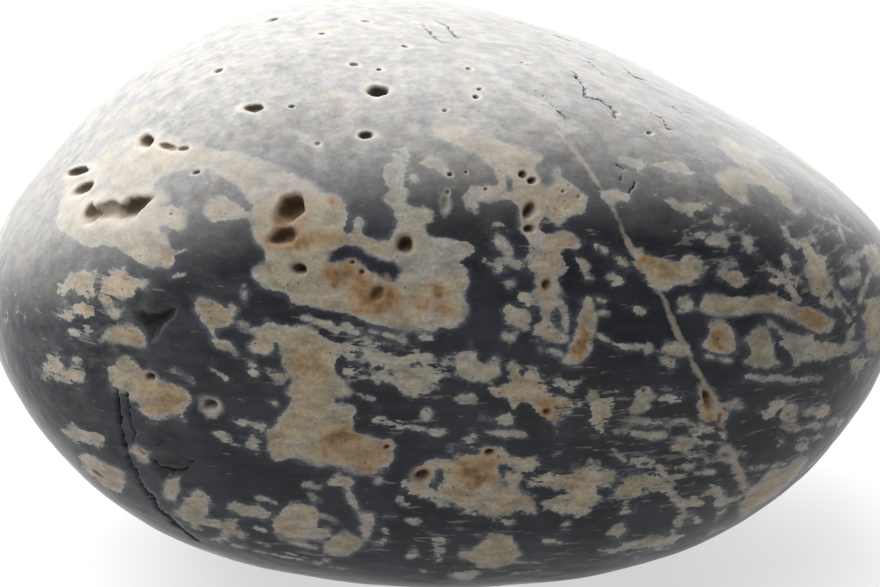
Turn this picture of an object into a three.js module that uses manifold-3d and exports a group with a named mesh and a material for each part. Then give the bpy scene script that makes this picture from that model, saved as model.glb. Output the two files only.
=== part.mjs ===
// River pebble: one water-worn stone, blunt at both ends, with a flat crown, a long slope on its right
// shoulder and old borings that open on its front and crown.
// Millimetres, +Z up. The stone's length lies along X and its bored front faces -Y. The origin is on
// the surface that it rests on, under the middle of its bounding box.
import * as THREE from "three";
import { mergeVertices } from "three/addons/utils/BufferGeometryUtils.js";
import Module from "manifold-3d";

// The ellipsoid that the stone was worn from: its half axes along X, Y and Z.
const HALF_LENGTH = 49;
const HALF_DEPTH = 36;
const HALF_HEIGHT = 31;

// How far the resting face lies below the ellipsoid's centre.
const RESTING_DEPTH = 27.4;

// How crisply the flats meet the ellipsoid and each other: the higher this is, the less the edges
// between them are rounded.
const EDGE_SHARPNESS = 9;

// Flats worn on the ellipsoid. A flat faces the way its azimuth and elevation say, in degrees, and its
// distance is measured from the ellipsoid's centre. Azimuth 0 is +X and -90 is the front.
const FLATS = [
  { name: "crown", azimuth: 0, elevation: 84, distance: 29.4 },
  { name: "long slope", azimuth: 20, elevation: 60, distance: 29.8 },
  { name: "left shoulder", azimuth: 180, elevation: 46, distance: 38.5 },
  { name: "front", azimuth: -90, elevation: 2, distance: 33.5 },
  { name: "back", azimuth: 90, elevation: 5, distance: 34 },
  { name: "underside", azimuth: 180, elevation: -87, distance: 29.3 },
  { name: "lower left", azimuth: 180, elevation: -36, distance: 42.5 },
  { name: "lower right", azimuth: 0, elevation: -40, distance: 45 },
];

// Borings over about a millimetre wide: where each opens, how long and wide its mouth is, how deep it
// goes, and how far its long side is turned up from level, in degrees.
const BORINGS = [
  { name: "twin upper", azimuth: -117, elevation: 32, long: 3.4, wide: 2.8, deep: 2.6, turn: 60 },
  { name: "twin lower", azimuth: -117, elevation: 27, long: 2.8, wide: 1.7, deep: 1.9, turn: 20 },
  { name: "basin", azimuth: -145, elevation: 25, long: 4.6, wide: 2.4, deep: 1.9, turn: 35 },
  { name: "basin left", azimuth: -152, elevation: 21, long: 2.6, wide: 1.8, deep: 1.2, turn: -30 },
  { name: "saddle", azimuth: -153, elevation: 34, long: 2.2, wide: 1.6, deep: 1.6, turn: 0 },
  { name: "left slot", azimuth: -165, elevation: 23, long: 3.2, wide: 1.2, deep: 1.1, turn: 35 },
  { name: "left hollow", azimuth: -160, elevation: 22, long: 2.2, wide: 1.6, deep: 1.1, turn: 50 },
  { name: "round left", azimuth: -114, elevation: 23, long: 1.7, wide: 1.4, deep: 1.8, turn: 0 },
  { name: "round middle", azimuth: -96, elevation: 28, long: 2, wide: 1.8, deep: 1.9, turn: 0 },
  { name: "stained hollow", azimuth: -100, elevation: 19, long: 2.4, wide: 1.7, deep: 1.1, turn: 60 },
  { name: "crown", azimuth: -110, elevation: 58, long: 2.5, wide: 2, deep: 2.4, turn: 0 },
  { name: "crown low", azimuth: -107, elevation: 47, long: 1.8, wide: 1.2, deep: 1.2, turn: 0 },
  { name: "crown left", azimuth: -138, elevation: 46, long: 2.2, wide: 1.3, deep: 1, turn: 15 },
  { name: "chain", azimuth: -72, elevation: 33, long: 2.1, wide: 1.2, deep: 1.5, turn: 60 },
  { name: "ringed", azimuth: -125, elevation: 0, long: 1.4, wide: 1.3, deep: 1.4, turn: 0 },
  { name: "low front", azimuth: -92, elevation: -12, long: 1.8, wide: 1.3, deep: 1.5, turn: 15 },
  { name: "vein slot", azimuth: -48, elevation: 0, long: 2.6, wide: 1, deep: 1.1, turn: -70 },
];

// How finely the stone and the plugs that cut its borings are faceted.
const STONE_DETAIL = 15;
const BORING_DETAIL = 2;

// The side of the block that trims the stone flat underneath, wider than the stone is long.
const TRIM_SIZE = 200;

const wasm = await Module();
wasm.setup();

function directionOf({ azimuth, elevation }) {
  const around = THREE.MathUtils.degToRad(azimuth);
  const up = THREE.MathUtils.degToRad(elevation);
  return new THREE.Vector3(
    Math.cos(around) * Math.cos(up),
    Math.sin(around) * Math.cos(up),
    Math.sin(up),
  );
}

const flatDirections = FLATS.map(directionOf);

// How far the stone's surface lies from its centre, in a direction of unit length.
function radiusAlong(direction) {
  const round = Math.hypot(
    direction.x / HALF_LENGTH,
    direction.y / HALF_DEPTH,
    direction.z / HALF_HEIGHT,
  );
  let sum = round ** EDGE_SHARPNESS;
  FLATS.forEach((flat, i) => {
    const reach = Math.max(0, direction.dot(flatDirections[i])) / flat.distance;
    sum += reach ** EDGE_SHARPNESS;
  });
  return sum ** (-1 / EDGE_SHARPNESS);
}

// The worn stone about its own centre, before it is trimmed or bored.
function wornStone() {
  const geometry = new THREE.IcosahedronGeometry(1, STONE_DETAIL);
  const position = geometry.getAttribute("position");
  const direction = new THREE.Vector3();
  for (let i = 0; i < position.count; i++) {
    direction.fromBufferAttribute(position, i).normalize();
    direction.multiplyScalar(radiusAlong(direction));
    position.setXYZ(i, direction.x, direction.y, direction.z);
  }
  return geometry;
}

// A rounded plug that fills one boring, centred on its mouth.
function boringPlug({ azimuth, elevation, long, wide, deep, turn }) {
  const outward = directionOf({ azimuth, elevation });
  const level = new THREE.Vector3(-outward.y, outward.x, 0).normalize();
  level.applyAxisAngle(outward, THREE.MathUtils.degToRad(turn));
  const across = new THREE.Vector3().crossVectors(outward, level);
  const placed = new THREE.Matrix4().makeBasis(level, across, outward);
  placed.setPosition(outward.clone().multiplyScalar(radiusAlong(outward)));
  return new THREE.IcosahedronGeometry(1, BORING_DETAIL)
    .scale(long / 2, wide / 2, deep)
    .applyMatrix4(placed);
}

// Everything below the resting face.
function belowRestingFace() {
  const box = new THREE.BoxGeometry(TRIM_SIZE, TRIM_SIZE, TRIM_SIZE);
  return box.translate(0, 0, -RESTING_DEPTH - TRIM_SIZE / 2);
}

function solidOf(geometry) {
  const bare = geometry.clone();
  bare.deleteAttribute("normal");
  bare.deleteAttribute("uv");
  const merged = mergeVertices(bare);
  const vertProperties = merged.getAttribute("position").array;
  const triVerts = new Uint32Array(merged.index.array);
  return new wasm.Manifold(new wasm.Mesh({ numProp: 3, vertProperties, triVerts }));
}

function geometryOf(solid) {
  const { vertProperties, triVerts } = solid.getMesh();
  const geometry = new THREE.BufferGeometry();
  geometry.setAttribute("position", new THREE.BufferAttribute(vertProperties, 3));
  geometry.setIndex(new THREE.BufferAttribute(triVerts, 1));
  geometry.computeVertexNormals();
  return geometry;
}

let stone = solidOf(wornStone()).subtract(solidOf(belowRestingFace()));
for (const boring of BORINGS) {
  stone = stone.subtract(solidOf(boringPlug(boring)));
}
const stoneGeometry = geometryOf(stone);

const slate = new THREE.MeshStandardMaterial({ color: 0x3b3d44, roughness: 0.45, metalness: 0 });
const pebble = new THREE.Mesh(stoneGeometry, slate);
pebble.name = "pebble";

// The stone stands on its resting face, with its bounding box centred over the origin.
stoneGeometry.computeBoundingBox();
const middle = stoneGeometry.boundingBox.getCenter(new THREE.Vector3());
pebble.position.set(-middle.x, -middle.y, RESTING_DEPTH);

const part = new THREE.Group();
part.add(pebble);

export default part;
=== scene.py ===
"""The looks of a river pebble: a water-worn dark stone with cream patches, borings, cracks and a pale vein.

The stone is worked out in millimetres about its own centre, and put into the frame in metres at the end.
Places on its front are given as pixels of the reference picture, and lie where the camera's ray through
that pixel meets the stone. The sides that the picture doesn't show come from solid noise and a seeded draw.
"""
import math
from itertools import combinations

import bpy
import numpy as np
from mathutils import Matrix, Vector, noise


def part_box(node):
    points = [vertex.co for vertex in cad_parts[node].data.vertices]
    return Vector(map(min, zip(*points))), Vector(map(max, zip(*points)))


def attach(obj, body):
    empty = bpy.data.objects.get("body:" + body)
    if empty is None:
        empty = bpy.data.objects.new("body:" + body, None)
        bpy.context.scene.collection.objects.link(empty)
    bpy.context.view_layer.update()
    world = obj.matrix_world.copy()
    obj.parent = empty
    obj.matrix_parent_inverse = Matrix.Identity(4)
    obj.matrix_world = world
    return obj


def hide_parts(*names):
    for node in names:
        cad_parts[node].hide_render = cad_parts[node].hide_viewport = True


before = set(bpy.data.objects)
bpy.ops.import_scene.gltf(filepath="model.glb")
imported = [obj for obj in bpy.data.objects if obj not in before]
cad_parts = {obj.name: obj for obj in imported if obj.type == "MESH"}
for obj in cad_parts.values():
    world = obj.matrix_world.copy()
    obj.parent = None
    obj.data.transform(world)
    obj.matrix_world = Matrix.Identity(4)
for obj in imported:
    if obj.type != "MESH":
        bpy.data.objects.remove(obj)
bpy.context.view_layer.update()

MM = 0.001

# The worn form: an ellipsoid's half axes, how crisply its flats meet, and how far down it rests.
HALF_AXES = np.array([49.0, 36.0, 31.0])
EDGE_SHARPNESS = 9
RESTING_DEPTH = 27.4

# Each flat's azimuth and elevation in degrees, and its distance from the centre.
FLATS = {
    "crown": (0, 84, 29.4),
    "long slope": (20, 60, 29.8),
    "left shoulder": (180, 46, 38.5),
    "front": (-90, 2, 33.5),
    "back": (90, 5, 34.0),
    "underside": (180, -87, 29.3),
    "lower left": (180, -36, 42.5),
    "lower right": (0, -40, 45.0),
}

# The picture's size, how its camera looks at the stone, and how many pixels a millimetre takes up.
PICTURE_WIDTH = 880
PICTURE_HEIGHT = 587
VIEW_ELEVATION = 22.0
VIEW_DISTANCE = 350.0
VIEW_TARGET = np.array([0.4, 0.0, -1.0])
LENS = 140.0
SENSOR = 36.0
PIXELS_PER_MM = 9.9

# How warm a patch is, from grey to tan: one of these, or a number between them.
PALE = 0.0
BEIGE = 0.5
TAN = 1.0

# How broken a patch's edge is.
WHOLE = 0.7
WORN = 1.0
SPECKLED = 1.5

# Cream patches on the front: warmth, how broken the edge is, and the outline in pixels.
PATCHES = [
    # The wing round the basin on the left, which reaches over to the twin borings.
    (0.42, WHOLE, [
        (57, 228), (55, 212), (57, 195), (63, 178), (77, 165), (99, 153), (121, 139), (134, 132),
        (153, 132), (172, 135), (190, 145), (212, 148), (240, 152), (268, 160), (290, 172), (280, 192),
        (262, 200), (246, 198), (238, 187), (226, 178), (210, 171), (191, 168), (172, 170), (154, 180),
        (149, 192), (153, 206), (163, 205), (180, 207), (187, 210), (187, 220), (184, 231), (178, 232),
        (172, 228), (159, 225), (156, 229), (163, 236), (166, 244), (172, 251), (175, 261), (170, 268),
        (153, 268), (142, 263), (126, 255), (119, 249), (107, 246), (96, 247), (82, 244), (71, 236)]),
    # The twin borings, the neck above the middle boring and the stained arm below it.
    (0.38, WHOLE, [
        (246, 178), (268, 168), (292, 172), (306, 182), (320, 189), (337, 193), (346, 203), (347, 214),
        (343, 228), (347, 234), (353, 229), (355, 217), (361, 215), (364, 221), (363, 232), (367, 237),
        (378, 240), (391, 238), (397, 228), (395, 213), (391, 205), (384, 198), (388, 188), (382, 175),
        (388, 165), (395, 161), (403, 166), (406, 176), (403, 184), (407, 195), (405, 201), (413, 205),
        (428, 207), (433, 212), (432, 221), (424, 223), (426, 232), (435, 236), (453, 239), (466, 241),
        (472, 248), (470, 255), (460, 262), (467, 269), (468, 282), (462, 294), (468, 305), (464, 320),
        (455, 328), (424, 330), (397, 329), (374, 324), (363, 320), (351, 314), (328, 312), (309, 305),
        (290, 306), (288, 297), (275, 291), (264, 286), (253, 281), (249, 274), (255, 266), (266, 261),
        (264, 249), (256, 242), (251, 228), (247, 218), (252, 206), (247, 197)]),
    (BEIGE, WORN, [
        (202, 207), (207, 199), (220, 195), (233, 201), (247, 209), (251, 217), (239, 222), (226, 220),
        (212, 221), (205, 215)]),
    # Blobs on the left end.
    (0.6, SPECKLED, [
        (55, 282), (63, 274), (77, 270), (84, 267), (96, 274), (96, 284), (94, 293), (80, 296), (73, 291),
        (61, 297), (55, 293)]),
    (0.7, SPECKLED, [
        (99, 280), (107, 270), (115, 266), (124, 270), (130, 276), (138, 274), (147, 282), (145, 291),
        (134, 293), (124, 296), (115, 298), (105, 303), (99, 293)]),
    (0.6, SPECKLED, [
        (61, 316), (67, 309), (77, 305), (90, 308), (96, 312), (92, 318), (77, 316), (69, 319)]),
    (0.6, WORN, [(105, 312), (113, 307), (124, 311), (121, 316), (109, 316)]),
    (0.6, WHOLE, [
        (99, 341), (107, 328), (124, 324), (134, 328), (142, 335), (145, 343), (143, 349), (130, 347),
        (115, 343), (105, 341)]),
    (PALE, SPECKLED, [(67, 330), (80, 328), (90, 330), (88, 336), (70, 337)]),
    (BEIGE, SPECKLED, [
        (46, 355), (57, 358), (67, 366), (75, 356), (78, 362), (80, 374), (82, 381), (71, 381), (63, 374),
        (57, 379), (46, 377), (40, 370), (48, 364)]),
    (0.7, WORN, [
        (113, 360), (124, 358), (134, 362), (140, 371), (157, 379), (168, 383), (182, 388), (193, 400),
        (184, 407), (184, 419), (172, 416), (163, 419), (149, 420), (140, 414), (134, 402), (122, 391),
        (113, 387), (107, 379)]),
    # The flag and the scraps beside it.
    (0.7, WHOLE, [
        (191, 297), (203, 299), (213, 301), (224, 307), (231, 301), (237, 309), (232, 319), (226, 326),
        (214, 331), (216, 339), (226, 341), (234, 348), (237, 355), (228, 352), (217, 349), (210, 341),
        (206, 331), (203, 322), (196, 311)]),
    (0.2, WORN, [(238, 290), (243, 286), (247, 293), (245, 303), (240, 302)]),
    (BEIGE, WORN, [
        (230, 320), (240, 322), (251, 328), (258, 325), (266, 322), (274, 328), (275, 340), (272, 353),
        (262, 356), (252, 352), (248, 346), (256, 340), (250, 335), (240, 329)]),
    (0.4, WORN, [(247, 362), (253, 361), (257, 370), (255, 378), (249, 376)]),
    (0.4, SPECKLED, [(264, 371), (276, 372), (287, 377), (283, 383), (272, 378)]),
    # The large boot-shaped patch left of the middle.
    (0.75, WHOLE, [
        (276, 324), (288, 328), (300, 325), (313, 328), (320, 335), (330, 341), (344, 349), (340, 358),
        (333, 363), (336, 374), (347, 386), (353, 394), (334, 401), (335, 406), (353, 406), (355, 411),
        (351, 421), (353, 432), (367, 436), (379, 440), (391, 440), (395, 448), (394, 458), (389, 467),
        (381, 473), (369, 477), (356, 475), (345, 471), (328, 469), (313, 469), (300, 463), (287, 460),
        (273, 463), (266, 450), (264, 435), (274, 427), (283, 416), (292, 402), (287, 396), (291, 378),
        (281, 362), (279, 352), (275, 339)]),
    # The pale speckled patch and the two-lobed one in the middle.
    (0.1, SPECKLED, [
        (345, 342), (357, 337), (372, 341), (375, 349), (389, 351), (396, 358), (405, 358), (413, 352),
        (424, 351), (433, 356), (437, 362), (449, 360), (450, 365), (443, 374), (440, 382), (431, 388),
        (424, 393), (412, 397), (403, 393), (396, 387), (388, 383), (374, 383), (362, 379), (349, 378),
        (343, 372), (345, 362), (343, 354)]),
    (0.25, WORN, [
        (455, 358), (461, 353), (470, 349), (476, 353), (478, 360), (482, 366), (487, 361), (491, 355),
        (497, 356), (500, 366), (499, 376), (486, 381), (472, 383), (462, 378), (453, 374), (455, 366)]),
    (0.8, SPECKLED, [
        (508, 367), (514, 363), (523, 374), (535, 368), (540, 377), (551, 388), (552, 397), (567, 400),
        (584, 406), (563, 416), (559, 427), (552, 423), (546, 416), (537, 412), (527, 402), (517, 402),
        (513, 410), (509, 403), (501, 397), (490, 389), (503, 382), (511, 375)]),
    (0.2, SPECKLED, [(553, 384), (558, 378), (568, 381), (576, 386), (572, 392), (560, 390)]),
    (0.6, SPECKLED, [
        (586, 391), (597, 387), (605, 398), (616, 393), (614, 408), (609, 418), (603, 423), (607, 433),
        (597, 431), (590, 421), (593, 412), (588, 402)]),
    # The stained patch low in the middle and the one on its right.
    (0.6, WORN, [
        (405, 494), (412, 484), (414, 473), (422, 464), (435, 460), (453, 460), (474, 454), (485, 447),
        (500, 450), (510, 456), (535, 458), (544, 465), (531, 471), (521, 472), (520, 483), (523, 494),
        (537, 497), (535, 507), (535, 515), (527, 513), (516, 509), (506, 515), (493, 519), (483, 515),
        (462, 508), (451, 502), (428, 498), (412, 498)]),
    (BEIGE, SPECKLED, [
        (529, 481), (546, 473), (565, 475), (577, 469), (590, 464), (599, 463), (602, 469), (613, 471),
        (614, 480), (611, 487), (601, 489), (603, 498), (597, 505), (590, 513), (577, 515), (562, 517),
        (554, 509), (540, 505), (543, 498), (565, 496), (569, 491), (556, 490), (542, 488), (530, 485)]),
    (0.45, WHOLE, [
        (470, 553), (481, 542), (491, 534), (500, 532), (510, 536), (518, 548), (522, 557), (508, 567),
        (493, 571), (478, 569), (470, 561), (459, 556), (463, 550)]),
    (0.45, WHOLE, [
        (272, 519), (282, 511), (290, 505), (301, 503), (311, 506), (317, 512), (318, 523), (317, 529),
        (326, 530), (331, 536), (322, 540), (305, 539), (290, 539), (274, 536)]),
    (0.45, WHOLE, [
        (323, 547), (331, 537), (345, 532), (355, 538), (365, 544), (358, 551), (347, 557), (333, 555),
        (325, 553)]),
    (0.1, WHOLE, [
        (344, 493), (349, 493), (353, 502), (361, 514), (372, 517), (375, 524), (372, 532), (367, 541),
        (361, 540), (359, 530), (361, 520), (354, 512), (347, 503)]),
    (0.2, WORN, [(326, 483), (336, 477), (347, 479), (351, 486), (344, 491), (332, 489)]),
    # Scraps low on the left.
    (0.5, WHOLE, [(126, 452), (134, 446), (142, 450), (148, 454), (147, 462), (140, 461), (132, 456)]),
    (0.5, WHOLE, [(165, 483), (172, 478), (179, 479), (179, 490), (174, 502), (166, 498), (163, 490)]),
    (0.5, WHOLE, [
        (77, 454), (88, 454), (99, 462), (113, 467), (124, 473), (124, 486), (119, 494), (107, 488),
        (92, 477), (80, 465)]),
    (0.2, WORN, [
        (63, 429), (73, 426), (82, 431), (96, 433), (103, 439), (98, 450), (86, 442), (75, 442),
        (63, 435)]),
    (0.5, WORN, [
        (172, 513), (182, 508), (186, 498), (199, 490), (210, 496), (210, 509), (203, 519), (222, 523),
        (230, 519), (239, 521), (237, 529), (249, 534), (251, 540), (239, 540), (224, 538), (220, 530),
        (209, 525), (197, 529), (184, 523)]),
    (0.4, WORN, [
        (228, 504), (235, 502), (241, 509), (256, 508), (270, 513), (266, 521), (253, 519), (239, 513),
        (230, 511)]),
    (0.3, WORN, [(212, 538), (220, 536), (230, 540), (228, 545), (218, 543)]),
    (0.2, SPECKLED, [
        (210, 431), (220, 431), (224, 437), (237, 446), (251, 439), (258, 442), (256, 452), (245, 453),
        (233, 448), (218, 441)]),
    (0.3, WORN, [(226, 421), (243, 421), (264, 427), (260, 430), (241, 426)]),
    (0.3, WHOLE, [(201, 404), (209, 397), (217, 400), (221, 409), (216, 419), (207, 418), (202, 411)]),
    # The diagonal band over the crown's edge, and the chain that hangs from it.
    (0.55, WHOLE, [
        (432, 124), (440, 115), (453, 111), (463, 116), (471, 124), (489, 132), (505, 142), (525, 149),
        (546, 157), (537, 164), (538, 173), (542, 182), (549, 187), (556, 181), (554, 171), (558, 167),
        (564, 177), (577, 186), (589, 196), (591, 205), (585, 212), (572, 217), (560, 224), (552, 221),
        (546, 216), (542, 222), (530, 234), (523, 229), (521, 216), (519, 206), (510, 200), (497, 201),
        (478, 200), (468, 194), (470, 186), (482, 184), (497, 184), (495, 172), (489, 163), (474, 153),
        (462, 147), (447, 140), (434, 136)]),
    (BEIGE, WORN, [
        (523, 229), (530, 234), (538, 230), (548, 233), (560, 229), (572, 232), (585, 240), (583, 246),
        (565, 251), (562, 260), (567, 267), (565, 273), (556, 279), (560, 291), (566, 302), (568, 318),
        (568, 330), (563, 328), (561, 313), (557, 305), (553, 312), (552, 322), (560, 332), (569, 339),
        (558, 343), (544, 340), (533, 339), (533, 328), (539, 321), (541, 311), (538, 304), (531, 297),
        (535, 288), (537, 276), (529, 268), (527, 257), (529, 248), (525, 237)]),
    (0.4, WORN, [(519, 296), (525, 291), (533, 298), (530, 302), (521, 301)]),
    (0.2, WORN, [
        (493, 237), (499, 232), (506, 239), (509, 247), (514, 254), (508, 254), (503, 246), (497, 243)]),
    (0.4, WORN, [
        (471, 250), (482, 255), (490, 260), (502, 258), (513, 258), (527, 264), (524, 268), (511, 264),
        (504, 266), (506, 274), (498, 271), (493, 265), (482, 259)]),
    (0.5, WORN, [(462, 192), (474, 196), (479, 203), (478, 213), (470, 209), (463, 202)]),
    (0.3, WORN, [
        (503, 312), (507, 305), (516, 309), (527, 310), (532, 319), (526, 330), (516, 328), (504, 320)]),
    (0.5, WHOLE, [
        (563, 362), (568, 352), (576, 334), (580, 315), (583, 301), (590, 297), (595, 302), (597, 320),
        (594, 336), (591, 352), (580, 364), (570, 364)]),
    # Pale marks on the crown.
    (0.2, WORN, [
        (485, 65), (499, 73), (510, 84), (525, 94), (544, 103), (554, 109), (556, 115), (565, 122),
        (577, 126), (573, 132), (562, 128), (552, 126), (539, 119), (527, 107), (512, 96), (502, 82),
        (491, 73)]),
    (0.2, WORN, [
        (290, 123), (298, 130), (310, 138), (320, 142), (319, 150), (312, 147), (303, 138), (293, 131)]),
    (0.3, WHOLE, [(354, 134), (358, 128), (366, 126), (374, 129), (377, 134), (372, 139), (362, 140)]),
    (0.2, WHOLE, [(407, 178), (410, 172), (417, 173), (420, 179), (417, 184), (410, 183)]),
    (0.3, WORN, [
        (421, 163), (429, 154), (436, 158), (448, 167), (453, 174), (444, 176), (435, 168), (427, 167)]),
    (0.1, SPECKLED, [(390, 154), (402, 150), (411, 156), (404, 161), (394, 159)]),
    # The upper right shoulder.
    (0.1, WORN, [(611, 153), (628, 155), (645, 159), (643, 172), (639, 174), (635, 165), (622, 159)]),
    (BEIGE, WHOLE, [
        (651, 163), (664, 161), (679, 160), (691, 166), (704, 172), (693, 174), (676, 170), (664, 168)]),
    (0.6, WHOLE, [
        (714, 173), (725, 169), (743, 167), (730, 156), (721, 146), (722, 138), (731, 136), (745, 147),
        (764, 153), (760, 163), (767, 168), (779, 178), (788, 188), (796, 201), (806, 212), (797, 214),
        (788, 206), (778, 196), (764, 187), (752, 182), (747, 186), (749, 203), (743, 204), (736, 199),
        (727, 191), (719, 180)]),
    (0.6, WORN, [
        (656, 194), (665, 197), (679, 201), (689, 204), (702, 201), (714, 201), (713, 208), (704, 210),
        (697, 212), (699, 219), (692, 218), (683, 213), (674, 207), (664, 200)]),
    (0.4, WORN, [
        (602, 191), (612, 187), (620, 189), (630, 192), (628, 200), (618, 202), (617, 209), (609, 202)]),
    (0.1, WORN, [(721, 207), (730, 206), (735, 211), (724, 212)]),
    (0.1, WORN, [(714, 219), (722, 218), (725, 227), (716, 227)]),
    (0.1, WORN, [(729, 222), (736, 222), (737, 230), (731, 230)]),
    (0.1, WORN, [(714, 233), (722, 233), (728, 238), (717, 238)]),
    (0.2, WORN, [(743, 236), (752, 236), (758, 243), (752, 246), (761, 256), (752, 253), (745, 242)]),
    (0.2, WORN, [(783, 255), (788, 254), (797, 266), (792, 268), (785, 262)]),
    (BEIGE, WORN, [
        (804, 237), (813, 234), (819, 240), (814, 247), (820, 253), (831, 257), (829, 270), (836, 284),
        (831, 290), (827, 295), (815, 295), (809, 288), (811, 276), (806, 272), (808, 261), (804, 249)]),
    # The pennant on the vein, the ring beside it and the long bone below.
    (0.75, WORN, [
        (635, 250), (643, 249), (656, 256), (664, 261), (674, 259), (682, 261), (687, 253), (696, 257),
        (710, 263), (714, 268), (702, 276), (687, 284), (676, 288), (664, 290), (657, 291), (652, 283),
        (648, 274), (639, 272), (635, 262)]),
    (0.5, WORN, [
        (718, 272), (724, 266), (731, 270), (742, 270), (748, 277), (757, 278), (747, 281), (743, 288),
        (733, 289), (728, 280), (721, 278)]),
    (0.7, WHOLE, [
        (702, 303), (708, 295), (718, 293), (726, 297), (743, 297), (752, 300), (760, 295), (775, 293),
        (787, 301), (797, 305), (811, 307), (827, 314), (838, 322), (834, 332), (823, 334), (810, 330),
        (794, 318), (777, 314), (762, 311), (750, 312), (737, 317), (722, 317), (710, 313), (704, 309)]),
    (0.5, WHOLE, [
        (704, 347), (711, 336), (710, 324), (722, 321), (731, 324), (740, 337), (739, 353), (728, 355),
        (714, 353)]),
    (0.5, WHOLE, [
        (745, 341), (754, 332), (760, 325), (769, 328), (772, 336), (777, 343), (775, 353), (783, 364),
        (771, 369), (756, 368), (746, 362), (751, 354), (752, 345)]),
    (0.2, WORN, [
        (779, 343), (789, 335), (810, 335), (820, 339), (832, 341), (841, 348), (854, 341), (863, 343),
        (857, 353), (838, 356), (827, 360), (810, 362), (796, 360), (791, 352)]),
    (0.2, WORN, [(679, 311), (684, 299), (690, 294), (697, 297), (695, 308), (686, 312)]),
    (0.5, WORN, [(663, 351), (668, 342), (680, 341), (690, 348), (694, 356), (680, 357), (668, 355)]),
    (0.8, WORN, [(664, 360), (674, 356), (681, 364), (674, 370), (666, 366)]),
    (0.4, WORN, [(630, 348), (634, 342), (641, 341), (645, 347), (640, 351), (634, 351)]),
    (0.1, WORN, [(645, 348), (649, 343), (656, 346), (657, 350), (651, 354), (647, 352)]),
    # The right end.
    (0.3, WORN, [(842, 282), (850, 277), (858, 275), (860, 285), (852, 288)]),
    (0.1, WORN, [(848, 334), (853, 327), (859, 323), (858, 330), (851, 339)]),
    (0.1, WORN, [(853, 260), (858, 257), (861, 264), (856, 267)]),
    (0.6, WORN, [(866, 300), (874, 296), (884, 300), (884, 350), (872, 352), (867, 330)]),
    (0.2, WORN, [(867, 246), (876, 242), (884, 250), (884, 276), (872, 276)]),
    (0.1, SPECKLED, [(855, 362), (864, 357), (872, 360), (868, 370), (858, 372)]),
    # Lower right.
    (0.3, WORN, [
        (629, 409), (637, 400), (639, 391), (650, 389), (657, 397), (651, 408), (643, 415), (634, 413)]),
    (0.1, SPECKLED, [(660, 399), (672, 394), (684, 394), (684, 401), (672, 402), (663, 403)]),
    (TAN, WORN, [(615, 416), (634, 419), (657, 421), (674, 427), (657, 428), (637, 424)]),
    (TAN, WORN, [(612, 431), (637, 433), (664, 435), (674, 440), (662, 442), (645, 438), (622, 434)]),
    (0.7, WORN, [
        (703, 388), (713, 391), (721, 403), (729, 414), (727, 423), (714, 426), (703, 421), (699, 408)]),
    (0.3, WORN, [(723, 405), (733, 403), (741, 398), (748, 408), (737, 411), (726, 409)]),
    (0.1, SPECKLED, [(689, 430), (695, 423), (705, 422), (716, 428), (716, 434), (702, 434)]),
    (0.3, WORN, [
        (720, 433), (727, 435), (730, 444), (740, 450), (752, 452), (747, 456), (738, 460), (744, 470),
        (746, 481), (744, 493), (738, 482), (732, 468), (730, 458), (721, 451), (727, 446)]),
    (0.4, WORN, [(760, 412), (771, 408), (783, 400), (791, 404), (783, 411), (779, 418), (767, 420)]),
    (0.4, WHOLE, [(781, 415), (785, 408), (793, 405), (800, 410), (801, 418), (795, 424), (786, 422)]),
    (0.6, WORN, [(804, 411), (817, 408), (829, 404), (831, 412), (827, 420), (817, 416), (806, 415)]),
    (0.2, WORN, [
        (781, 428), (800, 428), (818, 424), (832, 420), (848, 419), (843, 426), (820, 429), (793, 432)]),
    (0.45, WHOLE, [
        (748, 487), (760, 481), (767, 471), (787, 466), (795, 459), (810, 457), (806, 469), (790, 487),
        (771, 502), (757, 510), (741, 520), (738, 510), (745, 498)]),
    (BEIGE, SPECKLED, [
        (612, 498), (618, 490), (624, 478), (635, 475), (660, 477), (674, 479), (678, 487), (676, 496),
        (687, 501), (701, 496), (708, 496), (699, 506), (688, 511), (683, 520), (683, 530), (672, 537),
        (676, 523), (681, 513), (678, 506), (666, 500), (658, 492), (643, 494), (634, 502), (630, 511),
        (622, 515), (620, 508), (625, 501)]),
    (0.3, WORN, [
        (699, 492), (712, 488), (724, 486), (722, 493), (733, 497), (744, 494), (740, 502), (720, 509),
        (713, 505), (716, 498), (703, 497)]),
    (0.2, WORN, [(712, 521), (718, 511), (723, 511), (720, 519)]),
    (BEIGE, WHOLE, [(606, 534), (613, 527), (625, 524), (627, 532), (619, 539)]),
    (0.4, WORN, [
        (601, 552), (618, 549), (634, 541), (653, 538), (672, 537), (684, 536), (676, 545), (657, 550),
        (632, 552), (611, 556)]),
    (0.2, WORN, [(689, 513), (700, 516), (704, 522), (696, 522)]),
    (0.1, WORN, [(777, 441), (783, 438), (787, 444), (780, 447)]),
    (0.1, WORN, [(796, 446), (805, 442), (809, 450), (800, 455)]),
    (0.3, WORN, [(697, 544), (714, 530), (731, 525), (725, 532), (704, 544)]),
    # Small ones along the bottom and in the middle.
    (0.1, WORN, [(355, 393), (367, 393), (376, 400), (374, 405), (365, 401)]),
    (0.1, SPECKLED, [(374, 416), (384, 418), (392, 425), (390, 431), (382, 427), (374, 422)]),
    (0.1, WORN, [(420, 418), (423, 410), (428, 409), (430, 416), (426, 424), (422, 423)]),
    (0.2, WORN, [(453, 400), (462, 393), (472, 394), (479, 398), (470, 402), (460, 403)]),
    (BEIGE, WHOLE, [(497, 419), (502, 413), (510, 412), (516, 418), (514, 425), (506, 427), (499, 425)]),
    (0.1, WORN, [(428, 431), (436, 429), (443, 432), (440, 437), (432, 437)]),
    (0.1, SPECKLED, [(462, 440), (468, 435), (474, 436), (472, 444), (474, 450), (466, 447)]),
    (0.1, WORN, [(371, 482), (378, 478), (384, 483), (378, 487)]),
    (0.1, WORN, [(400, 485), (406, 482), (409, 487), (403, 489)]),
    (0.1, WORN, [(496, 521), (506, 518), (513, 521), (507, 526)]),
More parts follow.
